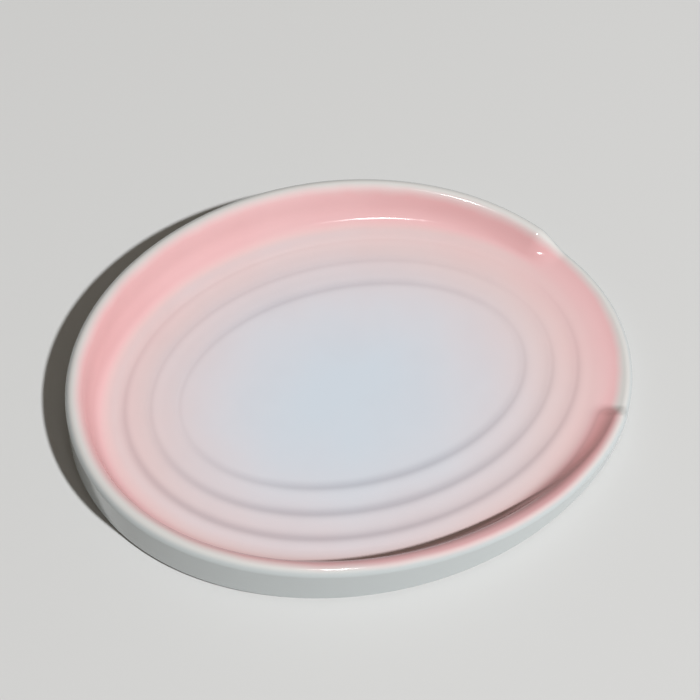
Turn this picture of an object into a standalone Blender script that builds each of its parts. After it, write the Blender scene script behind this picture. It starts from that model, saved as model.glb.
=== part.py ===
"""Oval stoneware spoon rest: a fired clay dish and the three glaze coats on it.

The dish is an ellipse in plan, with its long side on X and its notch towards +X.
It stands on the XY plane, on a bare clay foot ring. Every surface is one section,
a run of insets from the outline and heights above the table, carried round the
ellipse. Sizes are in millimetres and become metres when a mesh is made.
"""

import math

import bmesh
import bpy
import numpy as np

MM = 0.001

# Plan of the dish
LENGTH = 152.0
WIDTH = 117.3

# Rim heights above the table: the end away from the notch, the sides, and the
# height that the same curve would reach at the notch if the notch weren't cut
RIM_FAR_HEIGHT = 14.15
RIM_SIDE_HEIGHT = 14.55
RIM_NEAR_HEIGHT = 6.85
RIM_OUTER_RADIUS = 2.1
RIM_INNER_RADIUS = 2.5

# Well floor: flat in the middle, then three low rings like throwing marks. Each ring
# swells outwards to a round crest, falls in a shorter run, and leaves a narrow flat
# before the next ring or the foot of the wall
FLOOR_HEIGHT = 4.7
RING_COUNT = 3
RING_HEIGHT = 0.35
RING_RISE_RUN = 4.0
RING_FALL_RUN = 2.7
RING_FLAT = 0.4
WALL_FOOT_INSET = 11.3

# Curve from the floor up to the rim: how steeply it meets the rim, how far each end's
# direction is carried on, as a share of the distance between the two ends, and how much
# further out its foot lies. Each eases from the far end to a gentler wall at the notch
RIM_TURN_FAR = math.radians(68.0)
RIM_TURN_NEAR = math.radians(29.0)
FLOOR_PULL_FAR = 0.55
FLOOR_PULL_NEAR = 0.42
RIM_PULL_FAR = 0.4
RIM_PULL_NEAR = 0.28
WALL_FOOT_SHIFT = 0.9
NEAR_POWER = 3

# Notch that the spoon handle lies in
NOTCH_WIDTH = 53.9
CHEEK_RUN = 8.0
LIP_HEIGHT = 5.0
LIP_INSET = 0.2
LIP_RADIUS = 1.8
LIP_TURN = math.radians(12.0)

# Underside
FOOT_HEIGHT = 0.6
FOOT_INSET = 9.0
FOOT_WIDTH = 3.6
FOOT_CHAMFER = 0.25
EDGE_RADIUS = 0.8
EDGE_MOST = 0.9
RECESS_HEIGHT = 1.2

# Glaze coats
GLAZE = 0.4
GLAZE_BOND = 0.15
GLAZE_SEAM = 0.25
BARE_MARGIN = 0.7

# Fineness of the facets
NOTCH_SEGMENTS = 8
CHEEK_SEGMENTS = 6
WALL_SEGMENTS = 48
RING_STEPS = 2
WALL_STEPS = 6
RIM_INNER_STEPS = 2
RIM_OUTER_STEPS = 4
EDGE_STEPS = 3
SHARP_ANGLE = math.radians(40.0)

# Finishes: colour as linear red, green and blue, and roughness
CLAY_COLOUR = (0.71, 0.66, 0.58)
CLAY_ROUGHNESS = 0.85
PINK_COLOUR = (0.79, 0.60, 0.60)
WHITE_COLOUR = (0.80, 0.80, 0.78)
GLAZE_ROUGHNESS = 0.12


def oval_point(angle, inset, height):
    """A point on the ellipse drawn in by inset, at a height: millimetres to metres.

    The ellipse stands off the origin by half of what the lip is drawn in, so that
    the finished dish reaches equally far along +X and -X.
    """
    x = LIP_INSET / 2 + (LENGTH / 2 - inset) * math.cos(angle)
    y = (WIDTH / 2 - inset) * math.sin(angle)
    return x * MM, y * MM, height * MM


def notch_half_angle():
    """Angle from +X to the middle of a cheek, where the rim's crest ends the notch."""
    return math.asin(NOTCH_WIDTH / 2 / (WIDTH / 2 - RIM_OUTER_RADIUS))


def cheek_half_angle():
    """Half of the angle that a cheek takes to come down from the rim to the lip."""
    angle = notch_half_angle()
    speed = math.hypot(LENGTH / 2 * math.sin(angle), WIDTH / 2 * math.cos(angle))
    return CHEEK_RUN / 2 / speed


def section_angles():
    """Angles of the sections once round, close together over the two cheeks."""
    middle = notch_half_angle()
    half = cheek_half_angle()
    notch = middle - half
    wall = middle + half
    stops = (-notch, notch, wall, math.tau - wall, math.tau - notch)
    counts = (NOTCH_SEGMENTS, CHEEK_SEGMENTS, WALL_SEGMENTS, CHEEK_SEGMENTS)
    runs = [np.linspace(stops[i], stops[i + 1], count, endpoint=False) for i, count in enumerate(counts)]
    return np.concatenate(runs)


def notch_share(angle):
    """1 in the notch, 0 along the wall, easing from one to the other over a cheek."""
    off = abs(math.remainder(angle, math.tau))
    start = notch_half_angle() - cheek_half_angle()
    t = min(max((off - start) / (2 * cheek_half_angle()), 0.0), 1.0)
    return 1.0 - t * t * (3.0 - 2.0 * t)


def eased(angle, wall, lip):
    """A size that is one value along the wall and another on the lip, eased over a cheek."""
    return wall + (lip - wall) * notch_share(angle)


def towards_notch(angle, far, near):
    """A size that is one value at the end away from the notch and eases to another at the notch."""
    return far + (near - far) * ((1 + math.cos(angle)) / 2) ** NEAR_POWER


def rim_height(angle):
    """Crest height: nearly level along the wall, falling near the notch, and at the lip in the notch."""
    slope = (RIM_NEAR_HEIGHT - RIM_FAR_HEIGHT) / 2
    level = (RIM_NEAR_HEIGHT + RIM_FAR_HEIGHT) / 2
    bend = (level - RIM_SIDE_HEIGHT) / 2
    wall = level - bend + slope * math.cos(angle) + bend * math.cos(2 * angle)
    return eased(angle, wall, LIP_HEIGHT)


def ring_section(foot):
    """Inset and height along one ring whose outer foot is at an inset: a parabola on each side of its crest."""
    crest = foot + RING_FALL_RUN
    off = np.linspace(1.0, 0.0, RING_STEPS, endpoint=False)
    rise = [(crest + RING_RISE_RUN * share, FLOOR_HEIGHT + RING_HEIGHT * (1 - share**2)) for share in off]
    fall = [(crest - RING_FALL_RUN * share, FLOOR_HEIGHT + RING_HEIGHT * (1 - share**2)) for share in off[::-1]]
    return rise + [(crest, FLOOR_HEIGHT + RING_HEIGHT)] + fall


def floor_section(angle):
    """Inset and height of the well floor, from the flat middle out to the foot of the wall."""
    pitch = RING_RISE_RUN + RING_FALL_RUN + RING_FLAT
    points = []
    for number in reversed(range(RING_COUNT)):
        points += ring_section(WALL_FOOT_INSET + RING_FLAT + pitch * number)
    return points + [(WALL_FOOT_INSET - towards_notch(angle, 0.0, WALL_FOOT_SHIFT), FLOOR_HEIGHT)]


def bezier(start, start_pull, end_pull, end, steps):
    """Points of a cubic curve after its start, up to and with its end."""
    t = np.linspace(0.0, 1.0, steps + 1)[1:, None]
    corners = [np.array(corner) for corner in (start, start_pull, end_pull, end)]
    weights = ((1 - t) ** 3, 3 * t * (1 - t) ** 2, 3 * t * t * (1 - t), t**3)
    curve = sum(weight * corner for weight, corner in zip(weights, corners))
    return [tuple(point) for point in curve]


def outer_inset(angle):
    """How far the outer wall is drawn in from the ellipse: only the lip is."""
    return eased(angle, 0.0, LIP_INSET)


def outer_radius(angle):
    """Radius of the rim's outer side."""
    return eased(angle, RIM_OUTER_RADIUS, LIP_RADIUS)


def edge_radius(angle):
    """Radius of the bottom edge, which takes no more than most of the wall below the rim."""
    room = rim_height(angle) - outer_radius(angle) - FOOT_HEIGHT
    return min(EDGE_RADIUS, EDGE_MOST * room)


def rim_point(angle, turn):
    """Point of the round rim, at a turn from its crest: positive turns lie on the well side."""
    crest = outer_inset(angle) + outer_radius(angle)
    radius = RIM_INNER_RADIUS if turn > 0 else outer_radius(angle)
    return crest + radius * math.sin(turn), rim_height(angle) - radius * (1 - math.cos(turn))


def rim_turn(angle):
    """How far the rim's inner side turns down into the well: far along the wall, a little on the lip."""
    return eased(angle, towards_notch(angle, RIM_TURN_FAR, RIM_TURN_NEAR), LIP_TURN)


def well_section(angle):
    """The well's glazed face, from the flat middle up to the inner side of the rim."""
    points = floor_section(angle)
    start = points[-1]
    turn = rim_turn(angle)
    end = rim_point(angle, turn)
    reach = math.dist(start, end)
    from_floor = reach * towards_notch(angle, FLOOR_PULL_FAR, FLOOR_PULL_NEAR)
    from_rim = reach * towards_notch(angle, RIM_PULL_FAR, RIM_PULL_NEAR)
    floor_pull = (start[0] - from_floor, start[1])
    rim_pull = (end[0] + from_rim * math.cos(turn), end[1] - from_rim * math.sin(turn))
    return points + bezier(start, floor_pull, rim_pull, end, WALL_STEPS)


def outside_section(angle):
    """The white glazed face, over the rim, down the outer wall and under the edge to the foot ring."""
    first = rim_turn(angle) - GLAZE_SEAM / RIM_INNER_RADIUS
    points = [rim_point(angle, turn) for turn in np.linspace(first, 0.0, RIM_INNER_STEPS, endpoint=False)]
    points += [rim_point(angle, turn) for turn in np.linspace(0.0, -math.pi / 2, RIM_OUTER_STEPS + 1)]
    radius = edge_radius(angle)
    for turn in np.linspace(0.0, math.pi / 2, EDGE_STEPS + 1):
        inset = outer_inset(angle) + radius * (1 - math.cos(turn))
        points.append((inset, FOOT_HEIGHT + radius * (1 - math.sin(turn))))
    points.append((FOOT_INSET - BARE_MARGIN, FOOT_HEIGHT))
    return points


def sunk(points, depth):
    """The same section moved into the clay by depth, square to its own run."""
    places = np.array(points)
    runs = np.diff(places, axis=0)
    runs /= np.linalg.norm(runs, axis=1, keepdims=True)
    along = np.concatenate([runs[:1], runs[:-1] + runs[1:], runs[-1:]])
    along /= np.linalg.norm(along, axis=1, keepdims=True)
    inward = np.stack([-along[:, 1], along[:, 0]], axis=1)
    return [tuple(place) for place in places + depth * inward]


def foot_section():
    """The bare clay foot ring, from its outer side to its inner side."""
    outer = FOOT_INSET
    inner = FOOT_INSET + FOOT_WIDTH
    return [
        (outer, FOOT_HEIGHT + GLAZE + GLAZE_BOND),
        (outer, FOOT_CHAMFER),
        (outer + FOOT_CHAMFER, 0.0),
        (inner - FOOT_CHAMFER, 0.0),
        (inner, FOOT_CHAMFER),
        (inner, RECESS_HEIGHT + GLAZE + GLAZE_BOND),
    ]


def skin(mesh, first, second):
    """Four-sided faces between two loops of corners that run the same way round."""
    for i in range(len(first)):
        mesh.faces.new((first[i - 1], first[i], second[i], second[i - 1]))


def loft(mesh, section):
    """Skins a section carried round the oval, and gives the loops of corners that it runs through."""
    columns = [[oval_point(angle, *point) for point in section(angle)] for angle in section_angles()]
    loops = [[mesh.verts.new(place) for place in loop] for loop in zip(*columns)]
    for first, second in zip(loops, loops[1:]):
        skin(mesh, first, second)
    return loops


def cap(mesh, loop):
    """Closes a loop with one flat face."""
    bmesh.ops.contextual_create(mesh, geom=loop)


def finish(name, mesh, colour, roughness):
    """Turns a closed mesh into a named object with its own material."""
    bmesh.ops.recalc_face_normals(mesh, faces=mesh.faces[:])
    data = bpy.data.meshes.new(name)
    mesh.to_mesh(data)
    mesh.free()
    data.shade_smooth()
    data.set_sharp_from_angle(angle=SHARP_ANGLE)
    material = bpy.data.materials.new(name)
    material.use_nodes = True
    shader = material.node_tree.nodes["Principled BSDF"]
    shader.inputs["Base Color"].default_value = (*colour, 1.0)
    shader.inputs["Roughness"].default_value = roughness
    shader.inputs["Metallic"].default_value = 0.0
    data.materials.append(material)
    piece = bpy.data.objects.new(name, data)
    bpy.context.scene.collection.objects.link(piece)
    return piece


def stoneware_body():
    """The fired clay: everything under the glaze, and the bare foot ring."""
    depth = GLAZE + GLAZE_BOND

    def clay_section(angle):
        return sunk(well_section(angle) + outside_section(angle), depth) + foot_section()

    mesh = bmesh.new()
    loops = loft(mesh, clay_section)
    cap(mesh, loops[0])
    cap(mesh, loops[-1])
    return finish("stoneware_body", mesh, CLAY_COLOUR, CLAY_ROUGHNESS)


def well_glaze():
    """The coloured coat: a thin dish, as thick as the glaze."""
    mesh = bmesh.new()
    face = loft(mesh, well_section)
    back = loft(mesh, lambda angle: sunk(well_section(angle), GLAZE))
    cap(mesh, face[0])
    cap(mesh, back[0])
    skin(mesh, face[-1], back[-1])
    return finish("well_glaze", mesh, PINK_COLOUR, GLAZE_ROUGHNESS)


def outer_glaze():
    """The white coat over the rim, the outer wall and the bottom edge."""
    mesh = bmesh.new()
    face = loft(mesh, outside_section)
    back = loft(mesh, lambda angle: sunk(outside_section(angle), GLAZE))
    for end in (0, -1):
        skin(mesh, face[end], back[end])
    return finish("outer_glaze", mesh, WHITE_COLOUR, GLAZE_ROUGHNESS)


def base_glaze():
    """The white coat inside the foot ring."""
    inset = FOOT_INSET + FOOT_WIDTH + BARE_MARGIN
    mesh = bmesh.new()
    for loop in loft(mesh, lambda angle: [(inset, RECESS_HEIGHT), (inset, RECESS_HEIGHT + GLAZE)]):
        cap(mesh, loop)
    return finish("base_glaze", mesh, WHITE_COLOUR, GLAZE_ROUGHNESS)


def main():
    for old in list(bpy.data.objects):
        bpy.data.objects.remove(old, do_unlink=True)
    dish = bpy.data.objects.new("spoon_rest", None)
    bpy.context.scene.collection.objects.link(dish)
    for make in (stoneware_body, well_glaze, outer_glaze, base_glaze):
        make().parent = dish


main()
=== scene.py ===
# %% [markdown]
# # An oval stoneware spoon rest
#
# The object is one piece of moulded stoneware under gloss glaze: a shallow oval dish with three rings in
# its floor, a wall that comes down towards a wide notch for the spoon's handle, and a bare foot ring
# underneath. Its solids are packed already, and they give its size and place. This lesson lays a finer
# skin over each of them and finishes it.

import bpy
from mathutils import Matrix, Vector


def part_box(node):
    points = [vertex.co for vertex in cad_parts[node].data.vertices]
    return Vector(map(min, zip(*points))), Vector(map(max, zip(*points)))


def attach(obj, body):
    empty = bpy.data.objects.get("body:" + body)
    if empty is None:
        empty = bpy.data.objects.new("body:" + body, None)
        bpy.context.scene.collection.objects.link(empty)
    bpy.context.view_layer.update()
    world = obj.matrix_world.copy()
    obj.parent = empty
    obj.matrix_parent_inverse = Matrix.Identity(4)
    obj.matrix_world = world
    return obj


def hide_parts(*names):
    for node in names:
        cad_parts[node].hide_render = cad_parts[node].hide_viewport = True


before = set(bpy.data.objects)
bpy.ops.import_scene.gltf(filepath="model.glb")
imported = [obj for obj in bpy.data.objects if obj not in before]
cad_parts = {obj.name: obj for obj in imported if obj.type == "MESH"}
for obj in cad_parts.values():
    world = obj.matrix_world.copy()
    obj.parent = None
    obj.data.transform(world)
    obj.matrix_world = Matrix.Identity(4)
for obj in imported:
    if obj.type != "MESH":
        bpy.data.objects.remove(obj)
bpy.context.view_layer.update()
print("nodes:", sorted(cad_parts))

# %% [markdown]
# ## Modules and units
#
# Each shape is worked out with numpy as whole arrays of points, and Blender's own modules make the
# meshes, finishes and lamps. Moving single vertices in a loop would also work, but it is slow and hides
# the formula. Sizes are written in millimetres, as a potter measures them, and one factor turns them into
# Blender's metres.

# %% Modules
import math

import bpy
import numpy as np
from mathutils import Matrix, Vector

MM = 0.001
print("one millimetre is", MM, "metres")

# %% [markdown]
# ## The oval
#
# Seen from above, the dish is an ellipse. Everything on it is measured inwards from that outline, which
# is called the inset here, and upwards from the table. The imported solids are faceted, so their boxes fall
# a little short of the true curve. The half sizes are therefore written once more, and the print shows
# how near the boxes come.

# %% Size of the oval
HALF_LENGTH = 76.0
HALF_WIDTH = 58.65
LIP_INSET = 0.2

low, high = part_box("outer_glaze")
print("outer coat, solid:", [round((b - a) / MM, 1) for a, b in zip(low, high)])
print("outer coat, drawn:", [2 * HALF_LENGTH - LIP_INSET, 2 * HALF_WIDTH])

# %% [markdown]
# ## Two curves that are used everywhere
#
# Moulded clay and molten glaze have no sudden changes: a size swells and fades again, or it eases from
# one value to the next. A bell curve gives the first and a smooth step the second. Both take whole
# arrays, so that one call serves every point of a grid.

# %% Bell and smooth step
def bell(value, middle, reach):
    """1 at the middle, fading on both sides: e to the power of minus the square of distance over reach."""
    return np.exp(-(((value - middle) / reach) ** 2))


def step(value, start, end):
    """0 before the start, 1 past the end, and 3t^2 - 2t^3 between, where t runs from 0 to 1."""
    t = np.clip((value - start) / (end - start), 0.0, 1.0)
    return t * t * (3.0 - 2.0 * t)


print("a bell one reach from its middle:", round(float(bell(1.0, 0.0, 1.0)), 2))
print("a step a quarter of the way:", round(float(step(0.25, 0.0, 1.0)), 2))

# %% [markdown]
# ## Going round the dish
#
# A surface here is a grid: one direction runs along the section, from the middle of the well over the rim
# to the foot, and the other runs round the dish, with the angle 0 at the notch. Evenly spaced angles
# would be too coarse on the two short cheeks that end the wall at the notch, so the angles are spaced by
# a density that is higher there. The running sum of the density is inverted with `np.interp`, which gives
# all the angles in one call.

# %% Angles once round, closer together on the cheeks
NOTCH_HALF_WIDTH = 26.95
RIM_OUTER_RADIUS = 2.1
COLUMNS = 480
FINE_COLUMNS = 20001
CHEEK_DENSITY = 5.0
CHEEK_REACH = 0.10

CHEEK_ANGLE = math.asin(NOTCH_HALF_WIDTH / (HALF_WIDTH - RIM_OUTER_RADIUS))


def spaced_angles(count):
    """Angles from -pi to pi whose density is 1, plus a bell of CHEEK_DENSITY round each cheek's middle."""
    fine = np.linspace(-np.pi, np.pi, FINE_COLUMNS)
    total = np.cumsum(1.0 + CHEEK_DENSITY * bell(np.abs(fine), CHEEK_ANGLE, CHEEK_REACH))
    total = (total - total[0]) / (total[-1] - total[0])
    return np.interp(np.arange(count) / count, total, fine)


ANGLE = spaced_angles(COLUMNS)
print("columns:", COLUMNS, "middle of a cheek at", round(math.degrees(CHEEK_ANGLE), 1), "degrees")

# %% [markdown]
# ## The height of the wall
#
# The wall is highest along the sides and comes down towards the notch. A cosine of the angle makes the
# slope, and a cosine of twice the angle lifts the sides, so the line of the rim has no corners. A list of
# heights with a curve through them would do as well, but it would hide that three heights say it all. On
# one side the real rim dips a little before it reaches the notch, and a bell takes that much away.

# %% Height of the wall
RIM_FAR_HEIGHT = 14.15
RIM_SIDE_HEIGHT = 14.55
RIM_NEAR_HEIGHT = 6.85
RIM_DIP = 1.2
RIM_DIP_ANGLE = math.radians(-50.0)
RIM_DIP_REACH = math.radians(22.0)


def wall_height(angle):
    """A level, plus slope times cosine, plus bend times the cosine of twice the angle, less the dip."""
    slope = (RIM_NEAR_HEIGHT - RIM_FAR_HEIGHT) / 2
    level = (RIM_NEAR_HEIGHT + RIM_FAR_HEIGHT) / 2
    bend = (level - RIM_SIDE_HEIGHT) / 2
    dip = RIM_DIP * bell(angle, RIM_DIP_ANGLE, RIM_DIP_REACH)
    return level - bend + slope * np.cos(angle) + bend * np.cos(2 * angle) - dip


WALL_HEIGHT = wall_height(ANGLE)
print("wall from", round(WALL_HEIGHT.min(), 1), "to", round(WALL_HEIGHT.max(), 1), "mm high")

# %% [markdown]
# ## The notch and its cheeks
#
# In the notch the wall gives way to a low lip, on which the handle lies, and a short cheek at each end
# leads from one to the other. The notch could be cut out of a whole wall and its edges rounded, but a
# moulded dish has no cut edges. Here a share that is 1 on the lip and 0 along the wall eases every size
# of the section between the two. The real cheeks are not quite alike, so each side has its own run.

# %% Share of the lip, and the rim's height
CHEEK_RUN = 8.0
CHEEK_RUN_SKEW = 2.5
CHEEK_SKEW = 1.0
LIP_HEIGHT = 5.0

NOTCH_SIDE = np.sign(ANGLE)
MM_PER_RADIAN = math.hypot(HALF_LENGTH * math.sin(CHEEK_ANGLE), HALF_WIDTH * math.cos(CHEEK_ANGLE))
# millimetres along the rim past the middle of the nearer cheek, and half of that cheek's run
PAST_CHEEK = (np.abs(ANGLE) - CHEEK_ANGLE) * MM_PER_RADIAN + CHEEK_SKEW * NOTCH_SIDE
HALF_RUN = (CHEEK_RUN + CHEEK_RUN_SKEW * NOTCH_SIDE) / 2
LIP_SHARE = step(PAST_CHEEK, HALF_RUN, -HALF_RUN)


def eased(wall, lip):
    """A size that is one value along the wall and another on the lip, blended by the lip's share."""
    return wall + (lip - wall) * LIP_SHARE


RIM_HEIGHT = eased(WALL_HEIGHT, LIP_HEIGHT)
print("rim from", round(RIM_HEIGHT.min(), 1), "to", round(RIM_HEIGHT.max(), 1), "mm high")

# %% [markdown]
# ## Where the outline leaves the oval
#
# Clay moves as it dries and is fired, so a real dish is not quite an ellipse. The lip of this one sits
# half a millimetre to one side, and its far end is a little flat. Another ellipse would move the whole
# rim, so the shift is added to the inset, and only where it is seen.

# %% Inset of the outside
LIP_ASIDE = 0.55
LIP_ASIDE_FROM = math.radians(-4.0)
LIP_ASIDE_ANGLE = math.radians(27.0)
FAR_FLAT = 0.6
FAR_FLAT_REACH = math.radians(24.0)


def outline_shift(angle):
    """Turn times e^((1 - turn^4) / 4), in at one end of the lip and out at the other, plus a far bell."""
    turn = (angle - LIP_ASIDE_FROM) / LIP_ASIDE_ANGLE
    aside = LIP_ASIDE * turn * np.exp((1 - turn**4) / 4)
    return aside + FAR_FLAT * bell(np.abs(angle), np.pi, FAR_FLAT_REACH)


OUTER_INSET = eased(0.0, LIP_INSET) + outline_shift(ANGLE)
print("outline from", round(OUTER_INSET.min(), 2), "to", round(OUTER_INSET.max(), 2), "mm inside the oval")

# %% [markdown]
# ## The round of the rim
#
# The rim's section is two arcs that share a crest. The outer one turns a quarter circle down to the side.
# The inner one stops sooner, where the wall takes over: at a steep turn at the far end, and at a gentle
# one near the notch. Beside one cheek the real rim swells into a rounder bead. A bevel would have one
# radius all the way round, so radius and turn are arrays here, with a value for each angle.

# %% Radii and turns of the rim
RIM_INNER_RADIUS = 2.5
RIM_TURN_FAR = math.radians(68.0)
RIM_TURN_NEAR = math.radians(29.0)
NEAR_POWER = 3
BEAD_ANGLE = math.radians(-66.0)
BEAD_REACH = math.radians(18.0)
BEAD_RADIUS = 3.1
BEAD_TURN = math.radians(56.0)
LIP_RADIUS = 1.8
LIP_TURN = math.radians(12.0)


def lobe(middle, power):
    """1 at one angle and 0 opposite it: half of 1 plus the cosine, to a power that makes it narrower."""
    return ((1 + np.cos(ANGLE - middle)) / 2) ** power


def towards_notch(far, near):
    """A size that is one value at the far end and eases to another at the notch, by a lobe."""
    return far + (near - far) * lobe(0.0, NEAR_POWER)


def beaded(plain, bead):
    """A size that is one value along the rim and another where the rim is a rounder bead, by a bell."""
    return plain + (bead - plain) * bell(ANGLE, BEAD_ANGLE, BEAD_REACH)


OUTER_RADIUS = eased(RIM_OUTER_RADIUS, LIP_RADIUS)
INNER_RADIUS = beaded(RIM_INNER_RADIUS, BEAD_RADIUS)
INNER_TURN = eased(beaded(towards_notch(RIM_TURN_FAR, RIM_TURN_NEAR), BEAD_TURN), LIP_TURN)
least_turn, most_turn = np.degrees([INNER_TURN.min(), INNER_TURN.max()]).round()
print("inner arc turns from", least_turn, "to", most_turn, "degrees")

# %% [markdown]
# ## The floor with its rings
#
# The rings are like throwing marks: each swells to a low crest, and a fine groove runs just inside the
# crest. They could be a bump in the material, but then they would be missing from the mesh, so they are
# real relief. The line of heights is worked out on a fine run of insets and read back for any row with
# `np.interp`.

# %% Floor line with three rings
FLOOR_HEIGHT = 4.7
RING_CRESTS = np.array([28.0, 20.8, 13.9])
RING_GROOVES = np.array([29.3, 21.8, 15.0])
RING_HEIGHT = 0.10
RING_RISE_RUN = 3.4
RING_FALL_RUN = 3.6
GROOVE_DEPTH = 0.05
GROOVE_WIDTH = 0.6
FINE_STEP = 0.05


def ring_relief(inset):
    """Sum over the rings of half a cosine wave up to the crest and down, less a bell for the groove."""
    off = inset[:, None] - RING_CRESTS
    share = np.clip(np.where(off > 0, off / RING_RISE_RUN, -off / RING_FALL_RUN), 0.0, 1.0)
    groove = GROOVE_DEPTH * bell(inset[:, None], RING_GROOVES, GROOVE_WIDTH)
    return (RING_HEIGHT * (1 + np.cos(np.pi * share)) / 2 - groove).sum(axis=1)


line_inset = np.arange(0.0, HALF_WIDTH, FINE_STEP)
line_relief = ring_relief(line_inset)
print("ring crests stand", round(line_relief.max(), 2), "mm proud")

# %% [markdown]
# ## The section of the well
#
# From the foot of the wall a cubic curve sweeps up to the rim, level where it leaves the floor and, at
# its upper end, in line with the rim's round. A straight wall with two fillets would be simpler, but
# gloss shows where a fillet starts. Two pulls say how far the curve keeps its direction at either end,
# and both are shorter near the notch. The functions give whole arrays: a row for each step along the
# section and a column for each angle.

# %% Section of the well: insets and heights
FLAT_INSET = 35.0
WALL_FOOT_FAR = 11.3
WALL_FOOT_NEAR = 10.4
BEAD_FOOT = 9.9
FLOOR_PULL_FAR = 0.55
FLOOR_PULL_NEAR = 0.42
RIM_PULL_FAR = 0.4
RIM_PULL_NEAR = 0.28
RING_ROWS = 100
WALL_ROWS = 34


def bezier(corners, rows):
    """Cubic curve through four corner arrays: the usual weights (1-t)^3, 3t(1-t)^2, 3t^2(1-t) and t^3."""
    t = np.linspace(0.0, 1.0, rows)[:, None]
    weights = ((1 - t) ** 3, 3 * t * (1 - t) ** 2, 3 * t * t * (1 - t), t**3)
    return sum(weight * corner for weight, corner in zip(weights, corners))


def rim_point(turn, radius):
    """Point of the rim's round at a turn from its crest: sideways radius sin, downwards radius (1 - cos)."""
    crest = OUTER_INSET + OUTER_RADIUS
    return crest + radius * np.sin(turn), RIM_HEIGHT - radius * (1 - np.cos(turn))


def well_rows():
    """The floor line from the flat middle to the wall's foot, then the curve up to the rim's round."""
    foot = beaded(towards_notch(WALL_FOOT_FAR, WALL_FOOT_NEAR), BEAD_FOOT)
    ring_inset = np.linspace(FLAT_INSET, foot, RING_ROWS)
    ring_height = FLOOR_HEIGHT + np.interp(ring_inset, line_inset, line_relief)
    level = ring_height[-1]
    end_inset, end_height = rim_point(INNER_TURN, INNER_RADIUS)
    reach = np.hypot(foot - end_inset, end_height - level)
    floor_pull = reach * towards_notch(FLOOR_PULL_FAR, FLOOR_PULL_NEAR)
    rim_pull = reach * towards_notch(RIM_PULL_FAR, RIM_PULL_NEAR)
    pull_inset = end_inset + rim_pull * np.cos(INNER_TURN)
    pull_height = end_height - rim_pull * np.sin(INNER_TURN)
    wall_inset = bezier((foot, foot - floor_pull, pull_inset, end_inset), WALL_ROWS)
    wall_rise = bezier((level, level, pull_height, end_height), WALL_ROWS)
    return np.vstack([ring_inset, wall_inset[1:]]), np.vstack([ring_height, wall_rise[1:]])


well_inset, well_height = well_rows()
print("well section:", len(well_inset), "rows")

# %% [markdown]
# ## The section of the outside
#
# The two arcs lead over the crest, the side drops straight down, a small round turns under the bottom
# edge, and a flat underside runs in towards the foot ring. Each stretch starts where the one before it
# ends and leaves out the row that they share, because a row that is there twice would make faces without
# any area.

# %% Section of the outside: over the rim, down the side and under the edge
EDGE_RADIUS = 0.8
FOOT_HEIGHT = 0.6
FOOT_INSET = 9.0
BARE_MARGIN = 0.7
INNER_ROWS = 12
ROUND_ROWS = 22
SIDE_ROWS = 8
EDGE_ROWS = 10
UNDER_ROWS = 6


def blended(start, end, rows):
    """Straight run between two values or rows, without its first row: start plus t times the difference."""
    t = np.linspace(0.0, 1.0, rows + 1)[1:, None]
    return start + (end - start) * t


def outside_rows():
    """Insets and heights past the well's last row: inner arc, outer arc, side, bottom edge, underside."""
    inner = rim_point(blended(INNER_TURN, 0.0, INNER_ROWS), INNER_RADIUS)
    outer = rim_point(blended(0.0, -np.pi / 2, ROUND_ROWS), OUTER_RADIUS)
    edge_turn = np.linspace(0.0, np.pi / 2, EDGE_ROWS)[:, None]
    edge_inset = OUTER_INSET + EDGE_RADIUS * (1 - np.cos(edge_turn))
    edge_height = FOOT_HEIGHT + EDGE_RADIUS * (1 - np.sin(edge_turn)) + 0 * ANGLE
    side_inset = blended(outer[0][-1], edge_inset[0], SIDE_ROWS)[:-1]
    side_height = blended(outer[1][-1], edge_height[0], SIDE_ROWS)[:-1]
    under_inset = blended(edge_inset[-1], FOOT_INSET - BARE_MARGIN, UNDER_ROWS)
    under_height = blended(edge_height[-1], FOOT_HEIGHT, UNDER_ROWS)
    insets = np.vstack([inner[0], outer[0], side_inset, edge_inset, under_inset])
    heights = np.vstack([inner[1], outer[1], side_height, edge_height, under_height])
    return insets, heights


out_inset, out_height = outside_rows()
print("outside section:", len(out_inset), "rows")

# %% [markdown]
# ## From sections to one face
#
# A row of insets and heights becomes a ring of points on a smaller ellipse. The normals come from the
# same arrays: the cross product of the step along the section and the step round the dish. The coloured
# coat and the white coat meet on one line of the rim, and both take their normals from the joined grid,
# so no crease shows between them.

# %% Points and normals of the joined face
CENTRE_X = LIP_INSET / 2
MIDDLE_ROWS = 16
# no normal is divided by less than this, so that none is divided by zero
SHORTEST = 1e-12


def oval_points(inset, height):
    """x = (half length - inset) cos, y = (half width - inset) sin, z = height, in metres."""
    x = CENTRE_X + (HALF_LENGTH - inset) * np.cos(ANGLE)
    y = (HALF_WIDTH - inset) * np.sin(ANGLE)
    return np.stack([x, y, height + 0 * x], axis=-1) * MM


def axis_point(height):
    """Point over the middle of the oval, in metres."""
    return np.array([CENTRE_X, 0.0, height]) * MM


def grid_normals(points):
    """Unit cross product of the step along the section and the central difference round the dish."""
    along = np.gradient(points, axis=0)
    around = np.roll(points, -1, axis=1) - np.roll(points, 1, axis=1)
    normal = np.cross(along, around)
    return normal / np.maximum(np.linalg.norm(normal, axis=-1, keepdims=True), SHORTEST)


middle_share = np.linspace(0.0, 1.0, MIDDLE_ROWS, endpoint=False)[1:, None, None]
flat_ring = oval_points(well_inset[:1], FLOOR_HEIGHT)
middle_points = axis_point(FLOOR_HEIGHT) + middle_share * (flat_ring - axis_point(FLOOR_HEIGHT))
section_points = oval_points(np.vstack([well_inset, out_inset]), np.vstack([well_height, out_height]))
face_points = np.concatenate([middle_points, section_points])
face_normals = grid_normals(face_points)
SEAM_ROW = len(middle_points) + len(well_inset) - 1
print("joined face:", face_points.shape, "seam at row", SEAM_ROW)

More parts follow.
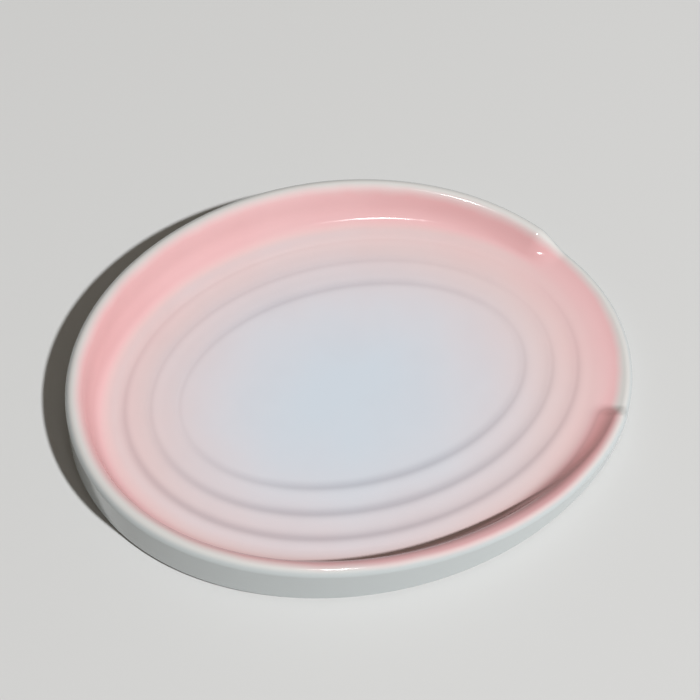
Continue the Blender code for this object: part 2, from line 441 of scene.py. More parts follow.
# %% [markdown]
# ## What the glaze does where
#
# The colour of a real glaze follows its thickness: it runs off edges and breaks to white on the rim, and
# it gathers in grooves. Those are places on the dish, not places in space. An image texture would need
# unwrapping, so the places are written on the mesh as named attributes, one number for each corner, and
# the materials read them. All of them start from the inset.

# %% Insets as the glaze sees them
middle_inset = FLAT_INSET + (1 - middle_share[..., 0]) * (HALF_WIDTH - FLAT_INSET) + 0 * ANGLE
face_inset = np.vstack([middle_inset, well_inset, out_inset])
# once past the outline, the inset grows again under the dish, and the glaze there is still the outside's
glaze_inset = np.minimum.accumulate(face_inset, axis=0)
print("glaze inset from", round(glaze_inset.max(), 1), "to", round(glaze_inset.min(), 1), "mm")

# %% [markdown]
# ## Pink on the floor
#
# The well is a cool bluish white in its middle and warms outwards. Pinkness is counted in display levels,
# about as many as red lies above green, so that a colour seen on the real glaze can be written down
# directly. On the floor it grows with the square of the distance from the cool middle. Just inside the
# wall's foot a paler band runs round, where the glaze lies thin.

# %% Pinkness of the floor and its pale band
COOL_MIDDLE_X = -2.5
COOL_MIDDLE_Y = -4.7
PINK_ALONG = 64.7
PINK_ACROSS = 50.4
PALE_INSET = 12.4
PALE_WIDTH = 2.0
PALE_DEPTH = 5.5
PALE_BACK = 2.5
PALE_FAR = 3.5


def floor_pink(points):
    """Squares of x over the half length and of y over the half width, from the cool middle, each weighed."""
    x = (points[..., 0] / MM - COOL_MIDDLE_X) / HALF_LENGTH
    y = (points[..., 1] / MM - COOL_MIDDLE_Y) / HALF_WIDTH
    return PINK_ALONG * x**2 + PINK_ACROSS * y**2


def pale_band(inset):
    """A bell of inset, deeper at the back by the sine of the angle and at the far end by its cosine."""
    depth = PALE_DEPTH + PALE_BACK * np.sin(ANGLE) - PALE_FAR * np.cos(ANGLE)
    return depth * bell(inset, PALE_INSET, PALE_WIDTH)


print("pale band at most", round(pale_band(glaze_inset).max(), 1), "levels")

# %% [markdown]
# ## Pink on the wall
#
# The pink deepens up the wall, over about four millimetres. Where that climb starts is not the same all
# round: it leans with the sine of the angle, and two lobes hold it back at the far end and beside one
# cheek. The lip has none of it. Near that cheek a narrow band of a lighter, stronger pink lies inside the
# rim,
# where the wall is in shade: it is painted bounce light, and a pair of bells adds it.

# %% Pinkness of the wall, and all of it together
CLIMB_INSET = 9.4
CLIMB_LEAN = 0.7
CLIMB_HALF = 2.0
CLIMB_FAR = 1.3
CLIMB_FAR_ANGLE = math.radians(195.0)
CLIMB_FAR_POWER = 6
CLIMB_CHEEK = 1.5
CLIMB_CHEEK_ANGLE = math.radians(-38.0)
CLIMB_CHEEK_POWER = 10
WALL_PINK = 22.0
WALL_PINK_SIDES = -8.0
WALL_PINK_BACK = -4.0
PAINTED_BOUNCE = 14.0
PAINTED_BOUNCE_ANGLE = math.radians(-45.0)
PAINTED_BOUNCE_REACH = math.radians(20.0)
PAINTED_BOUNCE_INSET = 5.3
PAINTED_BOUNCE_WIDTH = 1.8
# pinkness of the cool middle, the most that the wall has, and the most with the painted bounce light on top
PINK_START = -12.0
WALL_MOST = 58.0
PINK_MOST = WALL_MOST + PAINTED_BOUNCE


def wall_pink(inset):
    """A smooth step up the wall about the climb's inset, times a strength that changes round the dish."""
    far = CLIMB_FAR * lobe(CLIMB_FAR_ANGLE, CLIMB_FAR_POWER)
    cheek = CLIMB_CHEEK * lobe(CLIMB_CHEEK_ANGLE, CLIMB_CHEEK_POWER)
    middle = CLIMB_INSET + CLIMB_LEAN * np.sin(ANGLE) - far - cheek
    strength = WALL_PINK + WALL_PINK_SIDES * np.sin(ANGLE) ** 2 + WALL_PINK_BACK * np.sin(ANGLE)
    return eased(strength, 0.0) * step(inset, middle + CLIMB_HALF, middle - CLIMB_HALF)


def pinkness(points, inset):
    """Floor less pale band plus wall, held at the wall's most, plus the painted bounce light, as a share of
    the range.
    """
    pink = floor_pink(points) - pale_band(inset) + wall_pink(inset)
    # painted bounce light: a lighter pink in the shade inside the rim near one cheek
    painted_bounce = PAINTED_BOUNCE * bell(ANGLE, PAINTED_BOUNCE_ANGLE, PAINTED_BOUNCE_REACH) * bell(inset, PAINTED_BOUNCE_INSET, PAINTED_BOUNCE_WIDTH)
    return (np.clip(pink, 0.0, WALL_MOST - PINK_START) + painted_bounce) / (PINK_MOST - PINK_START)


pink_mark = pinkness(face_points, glaze_inset)
print("pinkness from", round(pink_mark.min(), 2), "to", round(pink_mark.max(), 2))

# %% [markdown]
# ## White on the rim
#
# Molten glaze thins on an edge, so the pink fades to white there. The line of the fade wanders on the
# real dish: on the front side the pink runs over the rim, at the back it comes nearer to the edge, and on
# the lip it lies askew. Two lobes and a sine move the fade, and a smooth step draws it. A second step
# tells the rim's warm white from the cooler white of the side, whose darker tone is partly painted shade.

# %% Whiteness of the rim and of the side
FADE_INSET = 3.7
FADE_HALF = 2.1
FADE_OVER = 2.4
FADE_OVER_HALF = 1.5
FADE_OVER_ANGLE = math.radians(-73.0)
FADE_OVER_POWER = 4
FADE_BACK = 0.7
FADE_BACK_ANGLE = math.radians(142.0)
FADE_BACK_POWER = 3
FADE_LIP = 3.1
FADE_LIP_LEAN = 1.6
SIDE_FROM = 1.5
SIDE_FULL = 0.2


def whiteness(inset):
    """0 on the coloured coat, 1 on the white one: a smooth step about an inset that changes all round."""
    over = lobe(FADE_OVER_ANGLE, FADE_OVER_POWER)
    wall = FADE_INSET - FADE_OVER * over - FADE_BACK * lobe(FADE_BACK_ANGLE, FADE_BACK_POWER)
    middle = eased(wall, FADE_LIP - FADE_LIP_LEAN * np.sin(ANGLE)) + OUTER_INSET
    half = FADE_HALF + (FADE_OVER_HALF - FADE_HALF) * over
    return step(inset, middle + half, middle - half)


def sideness(inset):
    """0 on top of the rim to 1 on the side of the dish: a smooth step of the inset from the outline."""
    return step(inset - OUTER_INSET, SIDE_FROM, SIDE_FULL)


white_mark = whiteness(glaze_inset)
side_mark = sideness(glaze_inset)
print("corners that are mostly white:", int((white_mark > 0.5).sum()), "of", white_mark.size)

# %% [markdown]
# ## Painted shade
#
# The glaze is painted darker, as shade, in a band just inside the rim of the front side, and less at the
# foot of the back wall. A smooth step of the cosine picks the stretch of the rim, and steps and bells of the
# inset give the band its width.

# %% Painted shade inside the front rim and at the back wall's foot
# a pair gives the cosines or insets between which a smooth step runs
PAINTED_SHADE_ANGLE = math.radians(-85.0)
PAINTED_SHADE_COSINES = (0.75, 0.95)
PAINTED_SHADE_OUTER = (0.9, 2.3)
PAINTED_SHADE_INNER = (3.6, 5.2)
BACK_SHADE_ANGLE = math.radians(112.0)
BACK_SHADE_COSINES = (0.6, 0.9)
BACK_SHADE_INSET = 8.0
BACK_SHADE_WIDTH = 1.3
BACK_SHADE_DEPTH = 0.5


def painted_shade(inset):
    """Painted shade: 1 in a band inside the front rim, between two steps of inset, plus a weaker bell at the
    back wall.
    """
    front = step(np.cos(ANGLE - PAINTED_SHADE_ANGLE), *PAINTED_SHADE_COSINES)
    band = step(inset, *PAINTED_SHADE_OUTER) * (1 - step(inset, *PAINTED_SHADE_INNER))
    back = step(np.cos(ANGLE - BACK_SHADE_ANGLE), *BACK_SHADE_COSINES)
    return front * band + BACK_SHADE_DEPTH * back * bell(inset, BACK_SHADE_INSET, BACK_SHADE_WIDTH)


painted_shade_mark = painted_shade(glaze_inset)
print("dusk from", round(painted_shade_mark.min(), 2), "to", round(painted_shade_mark.max(), 2))

# %% [markdown]
# ## Lines in the rings
#
# Glaze also gathers in the three grooves and draws a soft dark line in each. The lines are not even: they
# are stronger in front and at the far end, where they also stand in for the shading of the low relief, so
# they are partly pooled glaze and partly painted shade. Each is a bell of inset about its groove, times a
# strength that is a sum of sines and cosines of the angle. The loop runs over the rings, not over the points.

# %% Ring lines, and every mark of the face
LINE_WIDTH = 1.25
LINE_SIDES_POWER = 1.5
# each ring's strength round the dish: everywhere, at front and back, more in front, more at the far end
LINE_STRENGTHS = ((0.22, 0.60, 0.10, 0.0), (0.30, 0.45, 0.30, 0.14), (0.50, 0.0, 0.52, 0.26))
# how far each ring's line lies further in at the far end and further out in front, in millimetres
LINE_LEANS = ((0.0, 0.0), (0.0, 0.0), (0.2, 0.3))


def ring_lines(inset):
    """Sum over the rings of a bell of inset about the groove, times the strength round the dish."""
    across = np.abs(np.sin(ANGLE)) ** LINE_SIDES_POWER
    total = np.zeros_like(inset)
    rings = zip(RING_GROOVES, LINE_STRENGTHS, LINE_LEANS)
    for groove, (even, sides, front, far), (inwards, outwards) in rings:
        strength = even + sides * across - front * np.sin(ANGLE) - far * np.cos(ANGLE)
        middle = groove - inwards * np.cos(ANGLE) + outwards * np.sin(ANGLE)
        total += strength * bell(inset, middle, LINE_WIDTH)
    return total


face_marks = {
    "pinkness": pink_mark,
    "whiteness": white_mark,
    "sideness": side_mark,
    "painted_shade": painted_shade_mark,
    "ring_line": ring_lines(glaze_inset),
}
print({name: (round(mark.min(), 2), round(mark.max(), 2)) for name, mark in face_marks.items()})

# %% [markdown]
# ## The faces of a grid
#
# Neighbouring rows are joined with four-sided faces that close round the dish. Where a run of rows ends
# in the middle of the dish, a fan of triangles closes it at one corner. The faces' corner numbers come
# from one numbered array, shifted by a row or a column, so no loop is needed. The signed volume tells
# which way the faces point.

# %% Four-sided faces, fans and volume
def ring_faces(rows, columns, looped):
    """Corner numbers of the four-sided faces of a grid that closes round the dish, or both ways if looped."""
    index = np.arange(rows * columns).reshape(rows, columns)
    first = index if looped else index[:-1]
    second = np.roll(index, -1, axis=0) if looped else index[1:]
    around = [first, second, np.roll(second, -1, axis=1), np.roll(first, -1, axis=1)]
    return np.stack(around, axis=-1).reshape(-1, 4)


def fan_faces(row, pole):
    """Three-sided faces from one row of corner numbers to a single corner."""
    return np.stack([np.full_like(row, pole), row, np.roll(row, -1)], axis=-1)


def signed_volume(places, triangles):
    """A sixth of the sum of corner . (corner x corner) over the triangles; below 0 if they point inwards."""
    first, second, third = (places[triangles[:, i]] for i in range(3))
    return np.einsum("ij,ij->", first, np.cross(second, third)) / 6


print("faces between two rows of three:", ring_faces(2, 3, False).tolist())

# %% [markdown]
# ## A mesh from a grid
#
# `from_pydata` takes the corners and the faces, and `foreach_set` fills an attribute in one call. Blender
# works out smooth normals by itself, but at the line where two coats meet, each would know only its own
# faces. The grid's normals are therefore handed over as custom ones. Every piece rides on the body root,
# because a dish has no joints.

# %% Mesh builder
CM = 0.01


def make_piece(name, grid, normals, marks, poles=(), looped=False):
    """Object from a grid of rows and columns, closed by a fan to each pole, or along the rows if looped."""
    rows, columns = grid.shape[:2]
    count = rows * columns
    places = np.concatenate([grid.reshape(-1, 3), *[place[None] for place, _ in poles]])
    facing = np.concatenate([normals.reshape(-1, 3), *[way[None] for _, way in poles]])
    quads = ring_faces(rows, columns, looped)
    fans = np.empty((0, 3), dtype=int)
    if poles:
        start = fan_faces(np.arange(columns), count)
        end = fan_faces(np.arange(count - columns, count), count + 1)[:, ::-1]
        fans = np.concatenate([start, end])
    mesh = bpy.data.meshes.new(name)
    mesh.from_pydata(places.tolist(), [], quads.tolist() + fans.tolist())
    mesh.polygons.foreach_set("use_smooth", np.ones(len(mesh.polygons), dtype=bool))
    mesh.normals_split_custom_set_from_vertices(facing.tolist())
    for mark, values in marks.items():
        values = np.append(values.ravel(), [values[0, 0], values[-1, 0]] if poles else [])
        mesh.attributes.new(mark, "FLOAT", "POINT").data.foreach_set("value", values.astype(np.float32))
    piece = bpy.data.objects.new(name, mesh)
    bpy.context.scene.collection.objects.link(piece)
    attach(piece, "root")
    triangles = np.concatenate([quads[:, [0, 1, 2]], quads[:, [0, 2, 3]], fans])
    volume = signed_volume(places, triangles) / CM**3
    print(name, len(triangles), "triangles,", round(volume, 2), "cubic centimetres")
    return piece


# %% [markdown]
# ## The coloured coat of the well
#
# On the real dish this is a thin layer of glass on the clay. A Solidify modifier could thicken an open
# sheet, but the face's normals are at hand, so the back is the face moved along them, in the opposite
# order: the run of rows turns round the edge and comes back. The back is never seen and has only a sixth
# of the face's rows.

# %% Coloured coat
GLAZE = 0.4
BACK_STEP = 6
UP = np.array([0.0, 0.0, 1.0])


def coat(rows):
    """A face and, behind it by the glaze's thickness along the normal, its back, as one run of rows."""
    points, normals = face_points[rows], face_normals[rows]
    marks = {name: mark[rows] for name, mark in face_marks.items()}
    keep = np.unique(np.append(np.arange(0, len(points), BACK_STEP), len(points) - 1))[::-1]
    grid = np.concatenate([points, points[keep] - normals[keep] * GLAZE * MM])
    facing = np.concatenate([normals, -normals[keep]])
    return grid, facing, {name: np.concatenate([mark, mark[keep]]) for name, mark in marks.items()}


pink_well = make_piece(
    "pink_well",
    *coat(slice(0, SEAM_ROW + 1)),
    poles=((axis_point(FLOOR_HEIGHT), UP), (axis_point(FLOOR_HEIGHT - GLAZE), -UP)),
)
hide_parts("well_glaze")

# %% [markdown]
# ## The white coat outside
#
# It starts where the coloured coat ends, runs over the rim and down the side, and stops just short of the
# foot ring, where a potter wipes the glaze away so that the dish doesn't stick to the kiln shelf. It
# closes on itself both ways, like a bent tube, so it needs no fans. It could be one mesh with the
# coloured coat, but each coat stands for a solid of its own, so they stay two.

# %% White coat over the rim and the outer wall
white_outside = make_piece("white_outside", *coat(slice(SEAM_ROW, None)), looped=True)
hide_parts("outer_glaze")

# %% [markdown]
# ## The clay and its foot ring
#
# The clay fills the space behind the coats and shows only at the foot ring. Its face is the joined grid
# moved back by the glaze and a small gap, with a third of the rows. The foot ring's section has two soft
# corners, as a sponge leaves them, and a fan closes the recess.

# %% Fired clay with its bare foot ring
GLAZE_BOND = 0.15
CLAY_DEPTH = GLAZE + GLAZE_BOND
CLAY_STEP = 3
FOOT_WIDTH = 3.6
FOOT_ROUND = 0.35
FOOT_ROWS = 8
RECESS_HEIGHT = 1.2


def foot_rows():
    """Down the ring's outer side, round two quarter circles and up its inner side, in one column each."""
    turn = np.linspace(0.0, np.pi / 2, FOOT_ROWS)
    inner_side = FOOT_INSET + FOOT_WIDTH
    growing = FOOT_ROUND * (1 - np.cos(turn))
    shrinking = FOOT_ROUND * (1 - np.sin(turn))
    top, recess = FOOT_HEIGHT + CLAY_DEPTH, RECESS_HEIGHT + CLAY_DEPTH
    inset = np.concatenate([[FOOT_INSET], FOOT_INSET + growing, inner_side - shrinking, [inner_side]])
    height = np.concatenate([[top], shrinking, growing, [recess]])
    return inset[:, None], height[:, None]


foot_points = oval_points(*foot_rows())
clay_points = face_points[::CLAY_STEP] - face_normals[::CLAY_STEP] * CLAY_DEPTH * MM
clay_body = make_piece(
    "clay_body",
    np.concatenate([clay_points, foot_points]),
    np.concatenate([face_normals[::CLAY_STEP], grid_normals(foot_points)]),
    {},
    poles=((axis_point(FLOOR_HEIGHT - CLAY_DEPTH), UP), (axis_point(RECESS_HEIGHT + CLAY_DEPTH), -UP)),
)
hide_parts("stoneware_body")

# %% [markdown]
# ## The coat inside the foot ring
#
# The recess under the dish is glazed too. Surface tension rounds the edge of such a patch, so its section
# is flat underneath and turns up in a quarter circle as wide as the glaze is thick. A flat disc would do
# for the picture, but its sharp edge would catch the light from below.

# %% White coat inside the foot ring
BASE_ROUND_ROWS = 10
BASE_FLAT_ROWS = 49

base_edge = FOOT_INSET + FOOT_WIDTH + BARE_MARGIN
base_turn = np.linspace(0.0, np.pi / 2, BASE_ROUND_ROWS)[:, None]
base_flat = blended(base_edge + GLAZE, FLAT_INSET, BASE_FLAT_ROWS)
base_inset = np.vstack([base_edge + GLAZE * (1 - np.cos(base_turn)), base_flat])
base_round = RECESS_HEIGHT + GLAZE * (1 - np.sin(base_turn))
base_height = np.vstack([base_round, np.full_like(base_flat, RECESS_HEIGHT)])
base_points = oval_points(base_inset, base_height)
base_marks = {name: np.zeros(base_points.shape[:2]) for name in face_marks}
base_marks["whiteness"] += 1
base_marks["sideness"] += 1
base_coat = make_piece(
    "base_coat",
    base_points,
    grid_normals(base_points),
    base_marks,
    poles=((axis_point(RECESS_HEIGHT + GLAZE), UP), (axis_point(RECESS_HEIGHT), -UP)),
)
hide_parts("base_glaze")

# %% [markdown]
# ## Colours as a screen shows them
#
# A glaze is easiest to describe by the colour that a screen shows, from 0 to 255. Blender's colour
# sockets take linear light, so each display colour is turned linear by the formula that screens follow.

# %% Display colours
def seen(red, green, blue):
    """Linear colour of a display colour: ((c/255 + 0.055) / 1.055) ^ 2.4, and opaque."""
    values = (np.array([red, green, blue]) / 255.0 + 0.055) / 1.055
    return (*(values**2.4).tolist(), 1.0)


print("219 on a screen is", round(seen(219, 219, 219)[0], 2), "in linear light")

# %% [markdown]
# ## Adding nodes
#
# Three finishes follow, and they use the same few nodes. Each could be wired by hand in the node editor.
# A helper that adds a node, sets its sockets and links its inputs keeps a material short enough to read
# from top to bottom.

# %% Materials and nodes
def new_material(name):
    """A node material, with its tree and its shader."""
    material = bpy.data.materials.new(name)
    material.use_nodes = True
    return material, material.node_tree, material.node_tree.nodes["Principled BSDF"]


def feed(tree, socket, value):
    """Links another node's output to a socket, or sets the socket to a constant."""
    if isinstance(value, bpy.types.NodeSocket):
        tree.links.new(value, socket)
    else:
        socket.default_value = value


def add(tree, kind, sockets=None, **settings):
    """Adds a node with its settings, and feeds its named sockets."""
    node = tree.nodes.new("ShaderNode" + kind)
    for name, value in settings.items():
        setattr(node, name, value)
    for name, value in (sockets or {}).items():
        feed(tree, node.inputs[name], value)
    return node


print("helpers:", new_material.__name__, feed.__name__, add.__name__)

# %% [markdown]
# ## Numbers inside a material
#
# A material reads the mesh's attributes, and noise in the object's own coordinates, so that nothing
# slides when the camera or the dish moves. Most values of Blender's noise lie between a quarter and three
# quarters, and that range is spread over the wanted one. Noise added to an attribute makes its edge
# wander, as no two brush loads are the same.

# %% Attributes, noise and ranges
NOISE_RANGE = (0.25, 0.75)


def attribute(tree, name):
    """The number that a mesh attribute gives."""
    return add(tree, "Attribute", attribute_name=name).outputs["Fac"]


def noise(tree, scale, detail=2.0):
    """Noise in the object's own metres: scale is features per metre."""
    place = add(tree, "TexCoord").outputs["Object"]
    return add(tree, "TexNoise", {"Vector": place, "Scale": scale, "Detail": detail}).outputs["Fac"]


def spread(tree, value, source, target):
    """Maps one range of numbers to another, in proportion, and stops at its ends."""
    ends = {"From Min": source[0], "From Max": source[1], "To Min": target[0], "To Max": target[1]}
    return add(tree, "MapRange", {"Value": value, **ends}).outputs["Result"]


def moved(tree, value, scale, reach):
    """A number plus noise that moves it up and down, by as much as reach in all."""
    total = add(tree, "Math", operation="ADD")
    feed(tree, total.inputs[0], value)
    feed(tree, total.inputs[1], spread(tree, noise(tree, scale), NOISE_RANGE, (-reach / 2, reach / 2)))
    return total.outputs[0]


print("noise is read from", *NOISE_RANGE)

# %% [markdown]
# ## Colours inside a material
#
# A ramp turns a number into a colour through a few stops, and a mix lays one colour over another. In
# multiply mode the second colour works like a stain: white leaves the first one as it is.

# %% Ramps and mixes
def ramp(tree, value, stops):
    """Colour ramp through (position, colour) stops; the first and last use the ramp's own two elements."""
    node = add(tree, "ValToRGB", {"Fac": value})
    elements = node.color_ramp.elements
    for position, colour in stops[1:-1]:
        elements.new(position).color = colour
    for element, (position, colour) in ((elements[0], stops[0]), (elements[len(elements) - 1], stops[-1])):
        element.position = position
        element.color = colour
    return node.outputs["Color"]


def mix(tree, share, first, second, blend="MIX"):
    """First colour where the share is 0, second where it is 1, or their product in multiply mode."""
    node = add(tree, "Mix", data_type="RGBA", blend_type=blend)
    inputs = {socket.identifier: socket for socket in node.inputs}
    feed(tree, inputs["Factor_Float"], share)
    feed(tree, inputs["A_Color"], first)
    feed(tree, inputs["B_Color"], second)
    return next(socket for socket in node.outputs if socket.identifier == "Result_Color")


print("helpers:", ramp.__name__, mix.__name__)

# %% [markdown]
# ## The colours of the glaze
#
# The stops say which display colour belongs to which pinkness, from the cool middle of the floor to the
# lighter pink of the painted bounce light. The rim is a lighter and warmer white than the side, whose darker
# white is partly painted shade. Two darkenings, the painted shade and the ring lines, are given as factors,
# because they darken whatever colour lies under them.

# %% Glaze colours
PINK_STOPS = (
    (-12.0, seen(205, 213, 221)),
    (0.0, seen(212, 211, 216)),
    (10.0, seen(217, 206, 208)),
    (20.0, seen(221, 201, 200)),
    (30.0, seen(225, 195, 193)),
    (45.0, seen(227, 183, 183)),
    (58.0, seen(219, 169, 169)),
    # past the wall's most: the lighter pink of the painted bounce light
    (72.0, seen(240, 178, 178)),
)
RIM_WHITE = seen(212, 209, 205)
# the side: a cooler glaze white, made darker than the rim partly as painted shade
SIDE_WHITE_AND_SHADE = seen(189, 194, 194)
# painted shade: the factor that darkens the band inside the front rim and at the back wall's foot
PAINTED_SHADE_FACTOR = (0.88, 0.84, 0.85, 1.0)
# ring lines: pooled glaze, and partly painted shade of the low relief
LINE_STAIN_AND_SHADE = (0.79, 0.785, 0.80, 1.0)

pink_ramp = [((pink - PINK_START) / (PINK_MOST - PINK_START), colour) for pink, colour in PINK_STOPS]
print("ramp stops at", [round(position, 2) for position, _ in pink_ramp])

# %% [markdown]
# ## The glaze
#
# One recipe serves both coats, so that the pink can fade into the white across the line where they meet:
# a ramp along the pinkness, the darkening of the ring lines and of the painted shade, and white mixed in
# where the glaze breaks. Noise moves each mark a little. A second noise varies the gloss, and a third gives
# the slow waviness that bends reflections on a real glazed surface.

# %% Gloss glaze
# features per metre, and how far the noise moves the mark
PINK_DRIFT = (55.0, 0.05)
LINE_DRIFT = (90.0, 0.12)
FADE_DRIFT = (120.0, 0.16)
FADE_SLACK = FADE_DRIFT[1] / 2
GLOSS_SCALE = 170.0
GLOSS_ROUGHNESS = (0.09, 0.15)
# features per metre, and the noise's detail
WAVE_NOISE = (130.0, 1.0)
WAVE_HEIGHT = 0.4
WAVE_STRENGTH = 0.12


def glaze_material(name):
    """Gloss glaze: pink by pinkness, darkened by the ring lines and the painted shade, and white by
    whiteness.
    """
    material, tree, shader = new_material(name)
    pink = ramp(tree, moved(tree, attribute(tree, "pinkness"), *PINK_DRIFT), pink_ramp)
    lined = mix(tree, moved(tree, attribute(tree, "ring_line"), *LINE_DRIFT), pink, LINE_STAIN_AND_SHADE, "MULTIPLY")
    # painted shade: darker inside the front rim and at the back wall's foot
    shade_painted = mix(tree, attribute(tree, "painted_shade"), lined, PAINTED_SHADE_FACTOR, "MULTIPLY")
    # the side's darker white is partly painted shade
    white = mix(tree, attribute(tree, "sideness"), RIM_WHITE, SIDE_WHITE_AND_SHADE)
    edge = moved(tree, attribute(tree, "whiteness"), *FADE_DRIFT)
    fade = spread(tree, edge, (FADE_SLACK, 1 - FADE_SLACK), (0.0, 1.0))
    feed(tree, shader.inputs["Base Color"], mix(tree, fade, shade_painted, white))
    gloss = spread(tree, noise(tree, GLOSS_SCALE), (0.0, 1.0), GLOSS_ROUGHNESS)
    feed(tree, shader.inputs["Roughness"], gloss)
    wave = noise(tree, *WAVE_NOISE)
    relief = {"Height": wave, "Strength": WAVE_STRENGTH, "Distance": WAVE_HEIGHT * MM}
    feed(tree, shader.inputs["Normal"], add(tree, "Bump", relief).outputs["Normal"])
    return material


pink_well.data.materials.append(glaze_material("pink_glaze"))
white_glaze = glaze_material("white_glaze")
white_outside.data.materials.append(white_glaze)
base_coat.data.materials.append(white_glaze)
print("glaze on", pink_well.name, white_outside.name, base_coat.name)

# %% [markdown]
# ## The bare clay
#
# Fired stoneware is a warm buff, matt and sandy. A picture of clay would repeat and need unwrapping, so
# three noises make it. A broad one varies the buff, the sharp peaks of a finer one leave iron specks, and
# the finest is the grain of the sand in a bump. The roughness follows the grain too.

# %% Fired clay
BUFF_STOPS = ((0.3, seen(206, 190, 169)), (0.7, seen(221, 208, 190)))
SPECK = seen(150, 122, 98)
SPECK_PEAKS = (0.68, 0.74)
SPECK_SHARES = (0.0, 0.8)
CLAY_ROUGHNESS = (0.75, 0.95)
# features per metre, and the noise's detail
BUFF_NOISE = (220.0, 4.0)
SPECK_NOISE = (1500.0, 1.0)
SAND_NOISE = (3500.0, 3.0)
SAND_HEIGHT = 0.1
SAND_STRENGTH = 0.5


def clay_material():
    """Matt buff clay with iron specks and a sandy grain."""
    material, tree, shader = new_material("fired_clay")
    buff = ramp(tree, noise(tree, *BUFF_NOISE), BUFF_STOPS)
    specks = spread(tree, noise(tree, *SPECK_NOISE), SPECK_PEAKS, SPECK_SHARES)
    feed(tree, shader.inputs["Base Color"], mix(tree, specks, buff, SPECK))
    grain = noise(tree, *SAND_NOISE)
    feed(tree, shader.inputs["Roughness"], spread(tree, grain, (0.0, 1.0), CLAY_ROUGHNESS))
    relief = {"Height": grain, "Strength": SAND_STRENGTH, "Distance": SAND_HEIGHT * MM}
    feed(tree, shader.inputs["Normal"], add(tree, "Bump", relief).outputs["Normal"])
    return material


clay_body.data.materials.append(clay_material())
print("clay on", clay_body.name)

# %% [markdown]
# ## The table
#
# The dish stands on a plain pale surface, and its shadow there says how tall it is. A large flat sheet
# does. It has no shine, because a matt table takes the shadow and nothing else.

# %% Floor
FLOOR_HALF = 3.0
FLOOR_TONE = seen(208, 207, 205)
FLOOR_ROUGHNESS = 0.8

floor_corners = np.array([(-1, -1, 0), (1, -1, 0), (1, 1, 0), (-1, 1, 0)]) * FLOOR_HALF
floor_mesh = bpy.data.meshes.new("floor")
floor_mesh.from_pydata(floor_corners.tolist(), [], [(0, 1, 2, 3)])
floor = bpy.data.objects.new("floor", floor_mesh)
bpy.context.scene.collection.objects.link(floor)
floor_material, _, paint = new_material("floor_paint")
paint.inputs["Base Color"].default_value = FLOOR_TONE
paint.inputs["Roughness"].default_value = FLOOR_ROUGHNESS
paint.inputs["Specular IOR Level"].default_value = 0.0
floor_mesh.materials.append(floor_material)
print("floor", 2 * FLOOR_HALF, "metres wide")

# %% [markdown]
# ## The light
#
# One soft lamp gives the shadow its direction. It is left out of reflections, because glossy glaze would
# show it as a hard disc. The small glints on the wall come from a window, which here is a second, small
# lamp that only reflects and adds no light of its own. Both are area lamps that face the dish, so one
# function makes them.

# %% Lamps
KEY_AZIMUTH = -58.6
KEY_ELEVATION = 54.4
KEY_DISTANCE = 3.6
KEY_SIZE = (0.225, 0.225)
KEY_POWER = 143.0
KEY_COLOUR = (0.95, 0.975, 1.0)
WINDOW_AZIMUTH = -79.0
WINDOW_ELEVATION = 76.5
WINDOW_DISTANCE = 1.2
WINDOW_SIZE = (0.085, 0.06)
WINDOW_POWER = 2.6


def direction(azimuth, elevation):
    """Unit vector towards an azimuth, measured from +X, and an elevation, both in degrees."""
    turn, lift = math.radians(azimuth), math.radians(elevation)
    return Vector((math.cos(lift) * math.cos(turn), math.cos(lift) * math.sin(turn), math.sin(lift)))


def lamp(name, shape, way, distance, size, power):
    """Area lamp at a distance along a direction, facing back to the dish."""
    data = bpy.data.lights.new(name, "AREA")
    data.shape = shape
    data.size, data.size_y = size
    data.energy = power
    made = bpy.data.objects.new(name, data)
    made.location = way * distance
    made.rotation_mode = "QUATERNION"
    made.rotation_quaternion = way.to_track_quat("Z", "Y")
    bpy.context.scene.collection.objects.link(made)
    return made


key = lamp("key", "DISK", direction(KEY_AZIMUTH, KEY_ELEVATION), KEY_DISTANCE, KEY_SIZE, KEY_POWER)
key.data.color = KEY_COLOUR
key.visible_glossy = False
window_way = direction(WINDOW_AZIMUTH, WINDOW_ELEVATION)
window = lamp("window", "RECTANGLE", window_way, WINDOW_DISTANCE, WINDOW_SIZE, WINDOW_POWER)
window.visible_diffuse = False
print("key at", [round(value, 2) for value in key.location])

# %% [markdown]
# ## The room
#
# A lamp alone would leave its shadow black. In a real room the walls send some light back, a little
# warmer than the lamp, and the shadow takes on that tint. A plain background colour does the same from
# all sides at once.

# %% Room
ROOM_TINT = (1.0, 0.90, 0.78, 1.0)
ROOM_FILL = 0.16

world = bpy.data.worlds.new("room")
world.use_nodes = True
bpy.context.scene.world = world
fill = world.node_tree.nodes["Background"]
fill.inputs["Color"].default_value = ROOM_TINT
fill.inputs["Strength"].default_value = ROOM_FILL
print("room fill", ROOM_FILL)

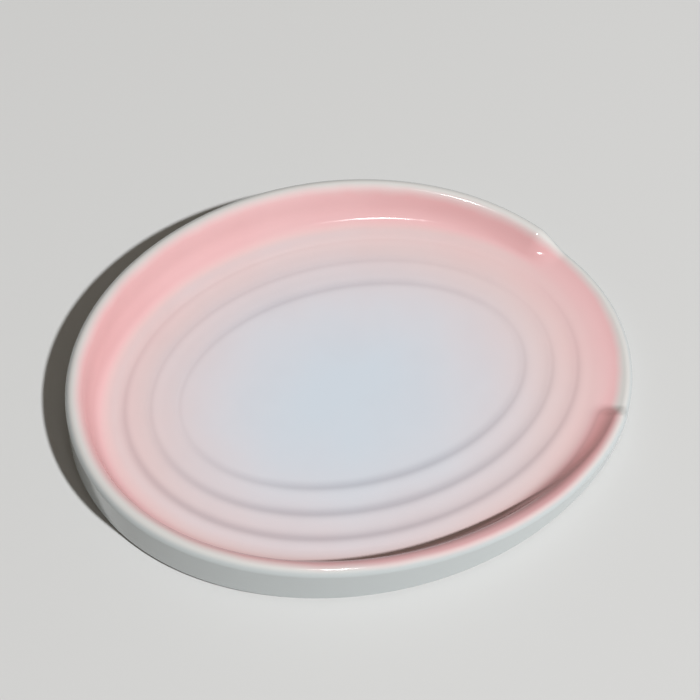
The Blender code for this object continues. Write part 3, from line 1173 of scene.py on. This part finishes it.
# %% [markdown]
# ## The camera
#
# The view looks down on the dish from about 60 degrees, turned to its left and rolled a little, as a
# hand-held picture is. The three axes of the camera are worked out from those angles and set as its
# matrix. The focal length is given in pixels of a picture 700 pixels wide. At 2000 it keeps the
# perspective weak, and a small shift places the dish in the frame.

# %% Camera
CAMERA_ELEVATION = math.radians(60.468)
CAMERA_AZIMUTH = math.radians(-23.381)
CAMERA_ROLL = math.radians(6.79)
CAMERA_DISTANCE = 529.65
FRAME_PIXELS = 700
FOCAL_PIXELS = 2000.0
SHIFT_RIGHT_PIXELS = 2.23
SHIFT_DOWN_PIXELS = 40.63
CLIP_START = 10.0

level_right = Vector((math.cos(CAMERA_AZIMUTH), math.sin(CAMERA_AZIMUTH), 0.0))
level_back = Vector((math.sin(CAMERA_AZIMUTH), -math.cos(CAMERA_AZIMUTH), 0.0))
back = level_back * math.cos(CAMERA_ELEVATION) + Vector((0.0, 0.0, math.sin(CAMERA_ELEVATION)))
level_up = back.cross(level_right)
right = level_right * math.cos(CAMERA_ROLL) + level_up * math.sin(CAMERA_ROLL)
up = level_up * math.cos(CAMERA_ROLL) - level_right * math.sin(CAMERA_ROLL)
stand = Vector(axis_point(0.0)) + back * CAMERA_DISTANCE * MM

camera_data = bpy.data.cameras.new("camera")
camera_data.lens = FOCAL_PIXELS * camera_data.sensor_width / FRAME_PIXELS
camera_data.shift_x = -SHIFT_RIGHT_PIXELS / FRAME_PIXELS
camera_data.shift_y = SHIFT_DOWN_PIXELS / FRAME_PIXELS
camera_data.clip_start = CLIP_START * MM
camera = bpy.data.objects.new("camera", camera_data)
camera.matrix_world = Matrix.Translation(stand) @ Matrix((right, up, back)).transposed().to_4x4()
bpy.context.scene.collection.objects.link(camera)
bpy.context.scene.camera = camera
print("camera at", [round(value, 3) for value in stand])

# %% [markdown]
# ## View settings
#
# The finished skin has to stay within the size of the imported solids. The view transform is Standard,
# which shows a colour about as it is written.

# %% View settings
bpy.context.scene.view_settings.view_transform = "Standard"
bpy.context.view_layer.update()
